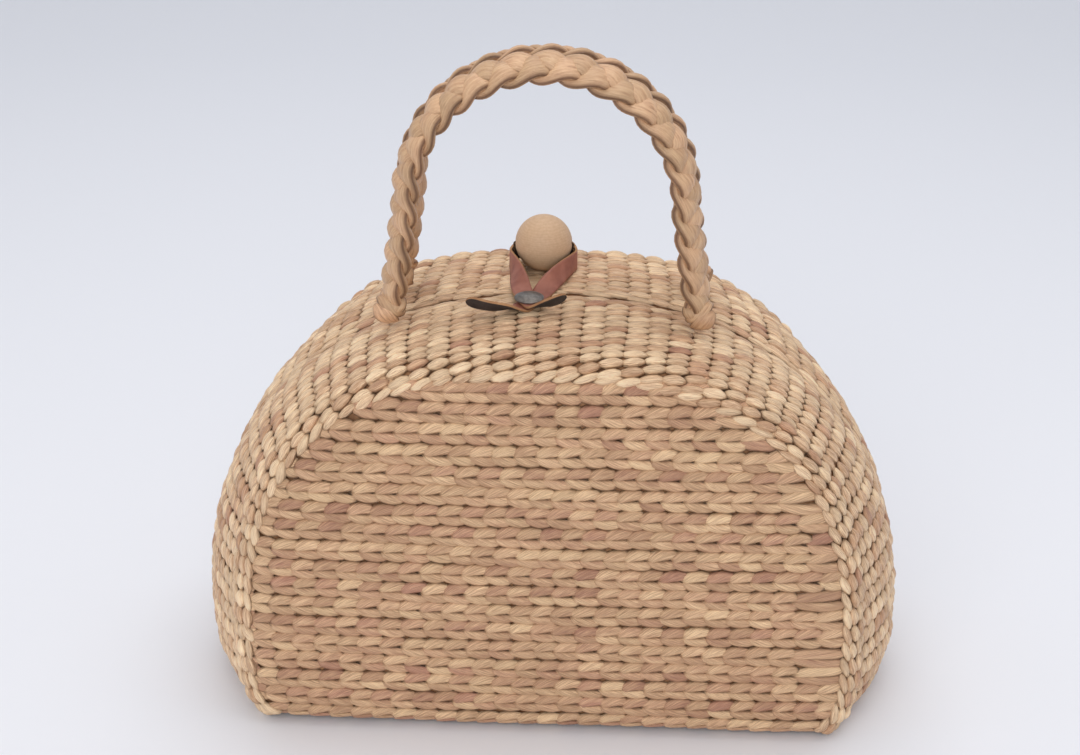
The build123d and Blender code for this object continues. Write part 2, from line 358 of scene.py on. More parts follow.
# %% Materials and their nodes
class Finish:
    """A material that is being built from nodes."""

    def __init__(self, name):
        self.material = bpy.data.materials.new(name)
        self.material.use_nodes = True
        self.tree = self.material.node_tree
        self.tree.nodes.clear()

    def node(self, kind, settings=None, inputs=None, output=0):
        node = self.tree.nodes.new("ShaderNode" + kind)
        for key, value in (settings or {}).items():
            if key == "stops":
                ramp = node.color_ramp.elements
                while len(ramp) < len(value):
                    ramp.new(1.0)
                for element, (place, colour) in zip(ramp, value):
                    element.position = place
                    element.color = (*colour, 1)
            else:
                setattr(node, key, value)
        for key, value in (inputs or {}).items():
            if isinstance(value, Wire):
                self.tree.links.new(value.socket, node.inputs[key])
            else:
                node.inputs[key].default_value = value
        return Wire(self.tree, node.outputs[output])

    def multiplied(self, first, second):
        """The first colour, darkened by the second."""
        return self.node("Mix", {"data_type": "RGBA", "blend_type": "MULTIPLY"},
                         {0: 1.0, 6: first, 7: second}, 2)

    def parts(self, vector):
        """The three numbers of a vector."""
        node = self.tree.nodes.new("ShaderNodeSeparateXYZ")
        self.tree.links.new(vector.socket, node.inputs[0])
        return [Wire(self.tree, socket) for socket in node.outputs]

    def finish(self, **sockets):
        shader = self.tree.nodes.new("ShaderNodeBsdfPrincipled")
        for key, value in sockets.items():
            slot = shader.inputs[key.replace("_", " ")]
            if isinstance(value, Wire):
                self.tree.links.new(value.socket, slot)
            else:
                slot.default_value = value
        out = self.tree.nodes.new("ShaderNodeOutputMaterial")
        self.tree.links.new(shader.outputs[0], out.inputs[0])
        return self.material


def colour(red, green, blue):
    """A colour as a picture program writes it, from 0 to 255, turned into linear light."""
    linear = []
    for value in (red, green, blue):
        share = value / 255
        linear.append(share / 12.92 if value <= 10 else ((share + 0.055) / 1.055) ** 2.4)
    return tuple(linear)


print("middle grey in linear light", round(colour(128, 128, 128)[0], 3))

# %% [markdown]
# Dried water hyacinth is a satin strip with fine fibres along its length. Its colour runs from pale
# straw to pinkish brown, and changes from stitch to stitch. Each stitch carries two numbers of its
# own: tone picks its colour, and shade makes it lighter or darker. The fibres follow the stitch's
# own UV map, so they turn with it. Painted shade darkens each stitch towards its edges, where it dips
# under its neighbour, and towards its ends. The darker parts are tinted warmer, as painted bounce light.

# %% Straw
PALE_STRAW = colour(230, 192, 149)
WARM_STRAW = colour(208, 164, 127)
PINK_STRAW = colour(186, 134, 108)
YELLOW_STRAW = colour(240, 207, 168)
PLAIT_STRAW = colour(192, 155, 118)


def straw(name, pale, fibres_along=2.0, fibres_across=20.0, painted_edge_shade=0.42, slant=0.0, painted_end_shade=0.35,
          round_strand=False):
    """Straw with fibres along the stitch, and painted shade at its edges and ends."""
    finish = Finish(name)
    tone = finish.node("Attribute", {"attribute_name": "tone"}, output=2)
    shade = finish.node("Attribute", {"attribute_name": "shade"}, output=2)
    place = finish.node("UVMap", {"uv_map": "stitch"})
    along, across, _ = finish.parts(place)
    fibre_row = (across - along * slant) * fibres_across
    spot = finish.node("CombineXYZ", inputs={0: along * fibres_along + tone * 31.0,
                                             1: fibre_row + shade * 57.0, 2: tone * 17.0})
    fibre = finish.node("TexNoise", inputs={"Vector": spot, "Scale": 1.0, "Detail": 3.0,
                                            "Roughness": 0.65})
    patch_along = along * (fibres_along * 0.6) + shade * 23.0
    patch_spot = finish.node("CombineXYZ", inputs={0: patch_along, 1: across * 3.0, 2: tone * 41.0})
    patch = finish.node("TexNoise", inputs={"Vector": patch_spot, "Scale": 1.0, "Detail": 1.0})
    ramp = [(0.0, pale), (0.5, WARM_STRAW), (1.0, PINK_STRAW)]
    base = finish.node("ValToRGB", {"stops": ramp},
                       {0: tone + (patch - 0.5) * 0.6 + (0.5 - fibre) * 1.2})
    # Painted shade: dip darkens the stitch towards its edges (a round strand towards its sides), and tip
    # darkens it towards its ends.
    theta = across * (2 * math.pi)
    side = theta.math("COSINE", theta, 0.0) if round_strand else across * 2.0 - 1.0
    dip = (side * side) ** (7.0 if round_strand else 3.0)
    tip = ((along * 2.0 - 1.0) ** 2.0) ** 6.0
    light = (0.20 + fibre * 1.76) * (1.0 - dip * painted_edge_shade) * (1.0 - tip * painted_end_shade)
    light = light * (0.85 + shade * 0.30)
    # The darker a spot, the warmer its tint: painted bounce light in the shaded slits, which tints the
    # dark fibres too.
    grey = finish.node("CombineColor", inputs={0: light**0.85, 1: light, 2: light**1.1})
    skin = finish.multiplied(base, grey)
    bump = finish.node("Bump", inputs={"Height": fibre, "Strength": 0.8, "Distance": 0.0008})
    return finish.finish(Base_Color=skin, Roughness=0.56 - fibre * 0.28, Specular_IOR_Level=0.55,
                         Normal=bump)


weave_straw = straw("straw_weave", PALE_STRAW, slant=0.9)
gusset_straw = straw("straw_gusset", YELLOW_STRAW)
# The plait's strands get strong painted shade along their sides, in the creases between them.
plait_straw = straw("straw_plait", PLAIT_STRAW, 60.0, 34.0, painted_edge_shade=0.75, painted_end_shade=0.0,
                    round_strand=True)
print("straw materials", weave_straw.name, gusset_straw.name, plait_straw.name)

# %% [markdown]
# Deep in the slits between the stitches one sees the warp, the strips that the stitches are wound
# round. It is duller than the outside, and its brown is painted darker, as painted shade, since little
# light gets there. A plain brown with fine noise is enough, because it never shows as more than a line or
# a dot.

# %% Inside of the weave, in painted shade
core = Finish("shaded_straw_core")
core_spot = core.node("TexCoord", output=3)
core_noise = core.node("TexNoise", inputs={"Vector": core_spot, "Scale": 260.0, "Detail": 3.0})
# The warp's brown is darker than the straw outside: painted shade, since little light reaches the slits.
core_shade_stops = [(0.3, colour(118, 78, 50)), (0.7, colour(166, 122, 84))]
core_shade_colour = core.node("ValToRGB", {"stops": core_shade_stops}, {0: core_noise})
core_bump = core.node("Bump", inputs={"Height": core_noise, "Strength": 0.6, "Distance": 0.0006})
shaded_straw_core = core.finish(Base_Color=core_shade_colour, Roughness=0.8, Normal=core_bump)
print("core material", shaded_straw_core.name)


# %% [markdown]
# What shows of a stitch is one loop of a strip between two slits: a plump grain on the gusset, and one
# arm of a chevron on the panels. Thousands of them need a light mesh, so each kind is one template
# shaped from a small grid: its outline is drawn in, its middle raised, and its rim closed underneath.
# Modelling real strips, one over and one under, would cost far more faces and show no more.

# %% Stitch templates
STITCH_ALONG = 6
STITCH_ACROSS = 4


def template(name, shape):
    """A closed leaf from a grid. shape turns (along, across), both from 0 to 1, into (x, y, height)."""
    mesh = bpy.data.meshes.new(name)
    bm = bmesh.new()
    layer = bm.loops.layers.uv.new("stitch")
    bmesh.ops.create_grid(bm, x_segments=STITCH_ALONG, y_segments=STITCH_ACROSS, size=0.5)
    for face in bm.faces:
        for loop in face.loops:
            loop[layer].uv = (loop.vert.co.x + 0.5, loop.vert.co.y + 0.5)
    for vert in bm.verts:
        vert.co = Vector(shape(vert.co.x + 0.5, vert.co.y + 0.5))
    rim = [edge for edge in bm.edges if edge.is_boundary]
    bmesh.ops.holes_fill(bm, edges=rim, sides=0)
    bmesh.ops.recalc_face_normals(bm, faces=bm.faces)
    for face in bm.faces:
        face.smooth = True
    bm.to_mesh(mesh)
    bm.free()
    return mesh


def kernel(u, v):
    """A plump grain of a stitch, pointed at both ends."""
    body = math.sin(math.pi * (0.03 + 0.94 * u)) ** 0.8
    crown = 1 - abs(2 * v - 1) ** 2.4
    aside = (v - 0.5) * body - 0.05 * math.sin(2 * math.pi * u)
    return u - 0.5, aside, crown * math.sin(math.pi * u) ** 0.6


def arm(start_out, full_at, slit, sign):
    """One arm of a chevron: its blunt left end lies on top, its tail is tucked under at the right.

    start_out says how far out its edge starts at the left, and full_at at which share of its length it is
    widest. slit is its distance from the middle line at the right, and sign is 1 for the upper arm and -1
    for the lower.
    """

    def shape(u, v):
        near = max(1 - u / full_at, 0)
        outer = start_out + (1 - start_out) * (1 - near * near) ** 0.65 + 0.14 * math.sin(math.pi * u)
        outer -= 0.32 * max((u - 0.70) / 0.30, 0) ** 2
        inner = -0.16 + (slit + 0.16) * u**0.9
        crease = (0.15 + 0.65 * min(u * 1.4, 1.0)) * (1 - v) ** 4
        crown = (1 - v**3.0) * (1 - crease)
        start = min((u / 0.12) ** 0.5, 1.0)
        fall = 1 - 0.60 * max((u - 0.25) / 0.75, 0) ** 1.1
        return u - 0.14 * v * (1 - u), sign * (inner + (outer - inner) * v), crown * start * fall

    return shape


kernel_mesh = template("kernel", kernel)
upper_mesh = template("upper_arm", arm(0.12, 0.58, 0.05, 1))
lower_mesh = template("lower_arm", arm(0.06, 0.70, 0.05, -1))
print("faces in one stitch", len(kernel_mesh.polygons))


# %% [markdown]
# A stitch is laid on the skin by a frame of its own. Its length and width are measured along the skin,
# so it bends with the body, and its height stands straight out. Nothing sinks below the floor, since
# a real bag rests on its lowest stitches.

# %% Place of one stitch
FLOOR_GAP = 0.0001


class Stitch:
    """Where one stitch lies, how large it is, and its tone and shade."""

    def __init__(self, skin, a, b, span, length, width, height, tone, shade, turn=0.0, lift=0.0):
        run = (skin(a + span[0], b) - skin(a - span[0], b)) / 2
        rise = (skin(a, b + span[1]) - skin(a, b - span[1])) / 2
        self.skin, self.a, self.b = skin, a, b
        self.scale = span[0] / run.length, span[1] / rise.length
        self.out = run.cross(rise).normalized()
        self.length, self.width, self.height = length, width, height
        self.tone, self.shade, self.turn, self.lift = tone, shade, turn, lift

    def place(self, point, outward):
        x, y = point.x * self.length, point.y * self.width
        along = x * math.cos(self.turn) - y * math.sin(self.turn)
        aside = x * math.sin(self.turn) + y * math.cos(self.turn)
        flat = self.skin(self.a + along * self.scale[0], self.b + aside * self.scale[1])
        spot = flat + self.out * outward * (point.z * self.height + self.lift)
        return Vector((spot.x, spot.y, max(spot.z, FLOOR_GAP)))


print("lowest point of any stitch", FLOOR_GAP)


# %% [markdown]
# A temporary Array modifier makes the copies of a template, all in one place, and then each copy's
# points are moved to where its stitch lies. This keeps a whole area of weave in one object, with the
# template's UV map, and it is much faster than one object for each stitch. Tone and shade are stored
# on the points, where the material finds them.

# %% Lay stitches on a skin
INSIDE_DEPTH = 0.0028


def lay(name, shape_mesh, stitches, material, outward=1):
    """One object with a copy of the template for each stitch."""
    source = bpy.data.objects.new(name + "_source", shape_mesh)
    bpy.context.scene.collection.objects.link(source)
    copies = source.modifiers.new("copies", "ARRAY")
    copies.count = len(stitches)
    copies.use_relative_offset = False
    copies.use_constant_offset = True
    copies.constant_offset_displace = (0, 0, 0)
    bpy.context.view_layer.update()
    mesh = bpy.data.meshes.new_from_object(source.evaluated_get(bpy.context.evaluated_depsgraph_get()))
    bpy.data.objects.remove(source)
    points = [vertex.co.copy() for vertex in shape_mesh.vertices]
    places, tones, shades = [], [], []
    for stitch in stitches:
        for point in points:
            places.extend(stitch.place(point, outward))
        tones += [stitch.tone] * len(points)
        shades += [stitch.shade] * len(points)
    mesh.vertices.foreach_set("co", places)
    for label, values in (("tone", tones), ("shade", shades)):
        mesh.attributes.new(label, "FLOAT", "POINT").data.foreach_set("value", values)
    mesh.name = name
    mesh.materials.clear()
    mesh.materials.append(material)
    bm = bmesh.new()
    bm.from_mesh(mesh)
    bmesh.ops.recalc_face_normals(bm, faces=bm.faces)
    bm.to_mesh(mesh)
    bm.free()
    made = bpy.data.objects.new(name, mesh)
    bpy.context.scene.collection.objects.link(made)
    print(name, len(stitches), "stitches", len(mesh.polygons), "faces")
    return made


def lay_both(name, shape_mesh, stitches, material, outward):
    """The stitches outside, and the same ones seen from inside the bag."""
    made = [lay(name, shape_mesh, stitches, material, outward)]
    for stitch in stitches:
        stitch.lift = INSIDE_DEPTH
    made.append(lay(name + "_inside", shape_mesh, stitches, material, -outward))
    return made


print("the weave is", INSIDE_DEPTH, "deep")

# %% [markdown]
# The gusset is twined in ribs that run from front to back. In each rib short stitches lie one behind
# the other, and neighbouring ribs are out of step, like bricks: by almost half a stitch over the crown
# and by less down the sides. A stitch is placed by its share of the arch and its distance from the
# mouth, so the ribs stay evenly spaced from the mouth to the narrower panel.

# %% Gusset measures
RIBS = 61
WEFTS = 12
PANEL_MARGIN = 0.0105
GUSSET_LAP = 0.0020
MOUTH_GAP = 0.00015
KERNEL_HEIGHT = 0.0021
PLUMP_ROWS = 3
RIB_WAVE = 0.0002
ROW_STEP = 0.98
SIDE_SHARE = 0.32
BRICK, BRICK_LOST_AT_SIDE = 0.45, 0.30
SLOPE, SLOPE_LOST_AT_SIDE = 0.20, 0.13
PINK_SHARE = 0.10
EDGE_SECTION = 45
EDGE_COURSE_SHIFT = 0.0004
EDGE_COURSE_LIFT = 0.0004


def gusset_skin(side, path):
    """The gusset's surface at one rib, as a function of share and distance from the mouth."""
    def skin(share, travel):
        point = gusset_point(share, depth_at(path, max(travel, MOUTH_GAP)))
        return Vector((point.x, side * point.y, point.z))
    return skin


print("rib at the mouth", round(outlines[0].length / RIBS, 4), "wide")


# %% [markdown]
# Next to the panel the last three stitches of a rib are plumper, and along the mouth they are longer
# and less even. One more course of slanting stitches closes the ribs at the panel. No stitch is like
# another in the real bag, so length, width, height, turn and colour are drawn by chance. The chance has
# a seed, so that the same bag comes out each time.

# %% Gusset stitches
def gusset_stitches(side, seed):
    """All stitches of one half's gusset, rib by rib from the right foot to the left."""
    chance = random.Random(seed)
    made = []
    for rib in range(RIBS):
        share = (rib + 0.5) / RIBS
        path = walk(share)
        skin = gusset_skin(side, path)
        rib_end = path[-1][0] - PANEL_MARGIN + GUSSET_LAP
        pitch = rib_end / WEFTS
        span = 0.4 / RIBS, pitch / 4
        rib_lift = RIB_WAVE * math.sin(rib * 2.4)
        on_side = min(abs(share - 0.5) / SIDE_SHARE, 1.0)
        brick = BRICK - BRICK_LOST_AT_SIDE * on_side
        slope = SLOPE - SLOPE_LOST_AT_SIDE * on_side
        for row in range(WEFTS):
            travel = (row + (brick if rib % 2 else 0.0) + 0.5) * pitch * ROW_STEP
            plump = row >= WEFTS - PLUMP_ROWS
            rib_width = outlines[round(DEPTH_STEPS * depth_at(path, travel) / HALF_DEPTH)].length / RIBS
            length = rib_width * chance.uniform(1.26, 1.50) * (1 - 0.12 * on_side)
            width = pitch * (chance.uniform(1.02, 1.22) if plump else chance.uniform(1.20, 1.45))
            height = KERNEL_HEIGHT * (1.1 if plump else 0.85) * chance.uniform(0.85, 1.15)
            turn = chance.gauss(slope, 0.06) * side
            if row == 0:
                length *= chance.uniform(1.1, 1.5)
                turn = chance.uniform(-0.05, 0.05)
                width = min(width, 1.9 * travel)
                height *= 0.8
            tone = chance.gauss(0.18, 0.15) + (0.40 if chance.random() < PINK_SHARE else 0)
            made.append(Stitch(skin, share, travel, span, length, width, height, clamp(tone),
                               chance.random(), turn,
                               rib_lift + RIB_WAVE * max(row - WEFTS + PLUMP_ROWS, 0)))
        made.append(Stitch(skin, share, rib_end + EDGE_COURSE_SHIFT, span,
                           outlines[EDGE_SECTION].length / RIBS * chance.uniform(1.3, 1.6),
                           pitch * chance.uniform(0.80, 1.10), KERNEL_HEIGHT * chance.uniform(0.75, 1.05),
                           clamp(chance.gauss(0.15, 0.14)), chance.random(),
                           chance.gauss(0.24, 0.09) * side, EDGE_COURSE_LIFT))
    return made


weave = {}
weave["front"] = lay_both("front_gusset_weave", kernel_mesh, gusset_stitches(1, 11), gusset_straw, 1)
weave["back"] = lay_both("back_gusset_weave", kernel_mesh, gusset_stitches(-1, 12), gusset_straw, -1)

# %% [markdown]
# The panels are twined in rows. Each row is a line of chevrons that open to the right: the blunt end
# of each arm lies on top of the tails of the one before it. A row runs as far as the soft edge lets
# it, so its reach to each side is searched for at its own height.

# %% Panel rows
HALF_ROW = 0.0046
ROWS = 18
FIRST_ROW = 0.0020
CHEVRON_PITCH = 0.0090
ARM_LENGTH = 0.0125
ARM_WIDTH = HALF_ROW * 1.05
ARM_HEIGHT = 0.0021
EDGE_TUCK = 0.0012
REACH_DROP = HALF_ROW * 0.7
PANEL_DEPTH_AT_EDGE = EDGE_START + EDGE_RADIUS * math.sin(
    (EDGE_RADIUS * math.pi / 2 - PANEL_MARGIN) / EDGE_RADIUS)
OUTERMOST_DEPTH = EDGE_START + 0.002


def panel_skin(side):
    """The panel's surface, as a function of x and z."""
    def skin(x, z):
        return Vector((x, -side * panel_depth(x, z), z))
    return skin


def row_reach(z, depth=PANEL_DEPTH_AT_EDGE):
    """How far the section at this depth runs to each side at this height."""
    return last_place(0.0, HALF_WIDTH, lambda x: inside(x, z, depth))


print("the lowest row reaches", round(row_reach(FIRST_ROW + HALF_ROW - REACH_DROP), 4), "to each side")

# %% [markdown]
# A row starts at the left with one low stitch, which fills the corner between the row and the gusset,
# and rises to full height within a few chevrons. It ends at the right in a long chevron that is tucked
# under the gusset. In about seven rows of ten every other chevron has one pinkish arm, which is the
# upper one in two rows of three. These small rules make the weave look made by hand and not printed.

# %% Panel stitches
ROW_WAVE = 0.0004
START_RISE = 0.012
START_HEIGHT = 0.35
FIRST_HEIGHT, FIRST_TONE = 0.4, 0.4
END_HEIGHT = 0.6
SHORT_ROW = 0.06
PINK_TONE, PALE_TONE = 0.68, 0.34
PINK_ROWS = 0.7


def panel_stitches(side, seed):
    """The upper and the lower arms of one panel, row by row from the base to the crown."""
    chance = random.Random(seed)
    skin = panel_skin(side)
    span = CHEVRON_PITCH / 4, HALF_ROW / 2
    upper, lower = [], []
    for row in range(ROWS):
        middle = FIRST_ROW + (2 * row + 1) * HALF_ROW
        reach = row_reach(middle - REACH_DROP)
        row_tone = chance.gauss(0.0, 0.05)
        alternates = chance.random() < PINK_ROWS
        long_end = chance.uniform(1.9, 3.0)
        x = -reach - EDGE_TUCK
        first = -min(reach + EDGE_TUCK + CHEVRON_PITCH * 0.5, row_reach(middle, OUTERMOST_DEPTH))
        lower.append(Stitch(skin, first, middle, span, ARM_LENGTH, ARM_WIDTH,
                            ARM_HEIGHT * FIRST_HEIGHT, FIRST_TONE, chance.random()))
        count = 0
        while x < reach + EDGE_TUCK - CHEVRON_PITCH * 0.5:
            ends = x > reach - CHEVRON_PITCH * long_end and reach > SHORT_ROW
            stretch = (reach + EDGE_TUCK - x) / ARM_LENGTH if ends else chance.uniform(0.94, 1.08)
            z = middle + ROW_WAVE * math.sin(x * 45 + row * 1.9)
            started = START_HEIGHT + (1 - START_HEIGHT) * clamp((x + reach) / START_RISE)
            for sign, into in ((1, upper), (-1, lower)):
                pink = alternates and count % 2 == 0 and (row % 3 != 0) == (sign == 1)
                tone = (PINK_TONE if pink else PALE_TONE) + row_tone + chance.gauss(0, 0.13)
                height = ARM_HEIGHT * chance.uniform(0.88, 1.12) * (END_HEIGHT if ends else started)
                into.append(Stitch(skin, x, z, span, ARM_LENGTH * stretch, ARM_WIDTH, height,
                                   clamp(tone), chance.random(), chance.gauss(0, 0.03)))
            if ends:
                break
            x += CHEVRON_PITCH * chance.uniform(0.93, 1.07) * upper[-1].scale[0]
            count += 1
    return upper, lower


for side, where, seed in ((1, "front", 21), (-1, "back", 22)):
    upper, lower = panel_stitches(side, seed)
    weave[where] += lay_both(where + "_panel_upper_arms", upper_mesh, upper, weave_straw, side)
    weave[where] += lay_both(where + "_panel_lower_arms", lower_mesh, lower, weave_straw, side)

# %% [markdown]
# A bmesh is Blender's mesh while it is being worked on. Every piece that is shaped in one ends in the
# same way: it gets its shading, its materials, a name and a place in the scene. So this is written once.

# %% From a bmesh to a piece
def piece_from(bm, name, *materials, smooth=True):
    """A finished bmesh as a named piece in the scene."""
    for face in bm.faces:
        face.smooth = smooth
    mesh = bpy.data.meshes.new(name)
    bm.to_mesh(mesh)
    bm.free()
    for material in materials:
        mesh.materials.append(material)
    made = bpy.data.objects.new(name, mesh)
    bpy.context.scene.collection.objects.link(made)
    return made


def nearest_face(bm, place):
    """The face whose middle lies nearest to a place. It tells which way a surface faces."""
    return min(bm.faces, key=lambda face: (face.calc_center_median() - place).length)


print("ready to make pieces")

# %% [markdown]
# Behind the stitches stands a thin wall, dark with painted shade. It closes the slits between them, as
# the warp does in the real bag. A grid is wrapped round the outline and on over the panel to its
# middle, then the Solidify operator gives it a thickness. The base belongs to the front half, so the
# back half's wall leaves it out.

# %% Walls
WALL_AROUND = 132
ARCH_SHARE = 0.74
BASE_MARGIN = 0.001
WALL_SINK = 0.0004
WALL_THICKNESS = 0.0026
PANEL_RINGS = 12


def ring_point(around, depth, shrink):
    """A point of the closed section: the arch first, then back along the base."""
    flat = outlines[min(round(depth / HALF_DEPTH * DEPTH_STEPS), DEPTH_STEPS)]
    if around <= ARCH_SHARE:
        spot = flat.at(around / ARCH_SHARE)
    else:
        spot = flat.points[-1].lerp(flat.points[0], (around - ARCH_SHARE) / (1 - ARCH_SHARE))
    return Vector((spot.x * shrink, PANEL_MIDDLE + (spot.y - PANEL_MIDDLE) * shrink))


def wall(name, side, with_base):
    """The wall of one half, from the mouth to the middle of its panel."""
    bm = bmesh.new()
    levels = [HALF_DEPTH * k / DEPTH_STEPS for k in range(0, DEPTH_STEPS + 1, 2)]
    last_level = len(levels) - 1
    rings = last_level + PANEL_RINGS
    bmesh.ops.create_grid(bm, x_segments=WALL_AROUND, y_segments=rings, size=0.5)
    open_base = []
    for vert in bm.verts:
        around = vert.co.x + 0.5
        step = round((vert.co.y + 0.5) * rings)
        depth = levels[min(step, last_level)]
        shrink = 1 - max(step - last_level, 0) / PANEL_RINGS
        spot = ring_point(around, depth, shrink)
        on_base = ARCH_SHARE + BASE_MARGIN < around < 1 - BASE_MARGIN
        if on_base and depth < FOLD_LINE and shrink == 1:
            open_base.append(vert)
        away = panel_depth(spot.x, spot.y) if shrink < 1 else depth
        vert.co = Vector((spot.x, -side * away, max(spot.y, KERNEL_HEIGHT)))
    if not with_base:
        bmesh.ops.delete(bm, geom=open_base, context="VERTS")
    bmesh.ops.remove_doubles(bm, verts=bm.verts, dist=0.00002)
    bmesh.ops.recalc_face_normals(bm, faces=bm.faces)
    middle = nearest_face(bm, Vector((0, -side * HALF_DEPTH, 0.1)))
    if middle.normal.y * side > 0:
        bmesh.ops.reverse_faces(bm, faces=bm.faces)
    for vert in bm.verts:
        vert.co -= vert.normal * WALL_SINK
    bmesh.ops.solidify(bm, geom=bm.faces, thickness=WALL_THICKNESS)
    bmesh.ops.recalc_face_normals(bm, faces=bm.faces)
    made = piece_from(bm, name, shaded_straw_core)
    print(name, len(made.data.polygons), "faces")
    return made


front_wall = wall("front_wall", 1, True)
back_wall = wall("back_wall", -1, False)

# %% [markdown]
# The bag stands on a flat woven strip that joins the panels. It is one piece with the front half, and
# it folds along its back edge when the bag opens. Its stitches are the gusset's grains, laid in courses
# from left to right. They hang under a thin plate, which closes the slits as the wall does elsewhere.

# %% Base
BASE_COURSES = 26
BASE_STITCH = 0.0095
BASE_HEIGHT = KERNEL_HEIGHT * 0.9
PLATE_BEVEL = 0.0008
BASE_SPAN = 0.002, 0.002


def base_skin(x, y):
    return Vector((x, y, BASE_HEIGHT))


def base_stitches(seed):
    """Courses of stitches under the bag, each half a stitch out of step with the last."""
    chance = random.Random(seed)
    made = []
    base_depth = FOLD_LINE + EDGE_START
    for course in range(BASE_COURSES):
        y = -EDGE_START + base_depth * (course + 0.5) / BASE_COURSES
        width = base_depth / BASE_COURSES
        x = -BASE_HALF_LENGTH + (BASE_STITCH / 2 if course % 2 else 0) + BASE_STITCH / 2
        while x < BASE_HALF_LENGTH - BASE_STITCH * 0.4:
            made.append(Stitch(base_skin, x, y, BASE_SPAN, BASE_STITCH * chance.uniform(1.05, 1.15),
                               width * chance.uniform(1.02, 1.12), BASE_HEIGHT,
                               clamp(chance.gauss(0.35, 0.18)), chance.random(),
                               chance.gauss(0, 0.05)))
            x += BASE_STITCH
    return made


base_weave = lay_both("base_weave", kernel_mesh, base_stitches(31), weave_straw, -1)
plate_bm = bmesh.new()
bmesh.ops.create_cube(plate_bm, size=1)
for vert in plate_bm.verts:
    vert.co = Vector((vert.co.x * 2 * BASE_HALF_LENGTH, vert.co.y * FOLD_LINE + FOLD_LINE / 2,
                      vert.co.z * WALL_THICKNESS + WALL_THICKNESS / 2 + WALL_SINK + KERNEL_HEIGHT * 0.5))
bmesh.ops.bevel(plate_bm, geom=plate_bm.edges, affect="EDGES", offset=PLATE_BEVEL, segments=2,
                profile=0.5, material=-1)
# The plate has the wall's dark brown of painted shade.
base_plate = piece_from(plate_bm, "base_plate", shaded_straw_core, smooth=False)
print("base plate", len(base_plate.data.polygons), "faces")

# %% [markdown]
# Each handle is a plait of three strands. In a flat plait a strand swings from edge to edge once a
# turn, and dips under and over its neighbours twice a turn. The three strands do the same, a third
# of a turn apart. The plait follows the handle's line: a leg, a half circle, and a leg. Its band is
# turned by 30 degrees, so that its flat side looks up to the front.

# %% Handle line
HANDLE_SHIFT = -0.0025
FOOT_SPREAD = 0.0625
FOOT_SETBACK = 0.018
ARCH_RADIUS = 0.056
LEG_RISE = 0.045
HANDLE_RISE = 0.101
PLAIT_WIDTH = 0.016
PLAIT_THICKNESS = 0.0086
PLAIT_EDGE = 0.0021
PLAIT_TURN = math.radians(30)
HANDLE_GAP = 0.0005
LOBE_RISE = 0.0009
FOOT_RADIUS = 0.0067
FOOT_GAP = 0.0005
RIB_RISE = 0.0011


def foot_seat(x):
    """Height of a foot's middle over the dome, so that the foot clears the dome's slope."""
    step = 0.0002
    rise = dome_height(x + step, FOOT_SETBACK) - dome_height(x - step, FOOT_SETBACK)
    slope = math.atan(rise / (2 * step))
    return dome_height(x, FOOT_SETBACK) + (FOOT_RADIUS + FOOT_GAP + RIB_RISE) / math.cos(slope)


foot_level = foot_seat(FOOT_SPREAD)
plait_reach = PLAIT_WIDTH / 2 * math.cos(PLAIT_TURN)
grip_top = HANDLE_RISE + PLAIT_WIDTH / 2 * math.sin(PLAIT_TURN) + PLAIT_EDGE / 2 + LOBE_RISE
handle_lean = math.atan((FOOT_SETBACK - plait_reach - HANDLE_GAP / 2) / grip_top)
leg_length = math.hypot(FOOT_SPREAD - ARCH_RADIUS, LEG_RISE)
bow_length = math.pi * ARCH_RADIUS
line_length = 2 * leg_length + bow_length


def line_at(travel):
    """Point and outward direction of the upright handle line, in its own plane."""
    if travel < leg_length:
        share = travel / leg_length
        x, z = -FOOT_SPREAD + (FOOT_SPREAD - ARCH_RADIUS) * share, LEG_RISE * share
        ahead = Vector((FOOT_SPREAD - ARCH_RADIUS, LEG_RISE)).normalized()
    elif travel > leg_length + bow_length:
        share = (line_length - travel) / leg_length
        x, z = FOOT_SPREAD - (FOOT_SPREAD - ARCH_RADIUS) * share, LEG_RISE * share
        ahead = Vector((FOOT_SPREAD - ARCH_RADIUS, -LEG_RISE)).normalized()
    else:
        turn = math.pi - (travel - leg_length) / ARCH_RADIUS
        x, z = ARCH_RADIUS * math.cos(turn), LEG_RISE + ARCH_RADIUS * math.sin(turn)
        ahead = Vector((math.sin(turn), -math.cos(turn)))
    return Vector((x, z)), Vector((-ahead.y, ahead.x))


def handle_frame(side, travel):
    """Place on the handle's line, and the directions across the band and out of its face."""
    spot, outward = line_at(travel)
    up = Vector((0, side * math.sin(handle_lean), math.cos(handle_lean)))
    back = Vector((0, side * math.cos(handle_lean), -math.sin(handle_lean)))
    x_axis = Vector((1, 0, 0))
    origin = Vector((HANDLE_SHIFT, -side * FOOT_SETBACK, foot_level))
    out = x_axis * outward.x + up * outward.y
    across = back * math.cos(PLAIT_TURN) + out * math.sin(PLAIT_TURN)
    face = out * math.cos(PLAIT_TURN) - back * math.sin(PLAIT_TURN)
    return origin + x_axis * spot.x + up * spot.y, across, face


print("handle line", round(line_length, 4), "lean", round(math.degrees(handle_lean), 2))


# %% [markdown]
# Strands and leaves are both bent tubes, so one function makes them from rings of points. A grid is
# rolled up: one of its sides runs along the tube and the other round it, and the seam is merged. The
# same two directions give the UV map, so that the fibres run along the strand wherever it bends.

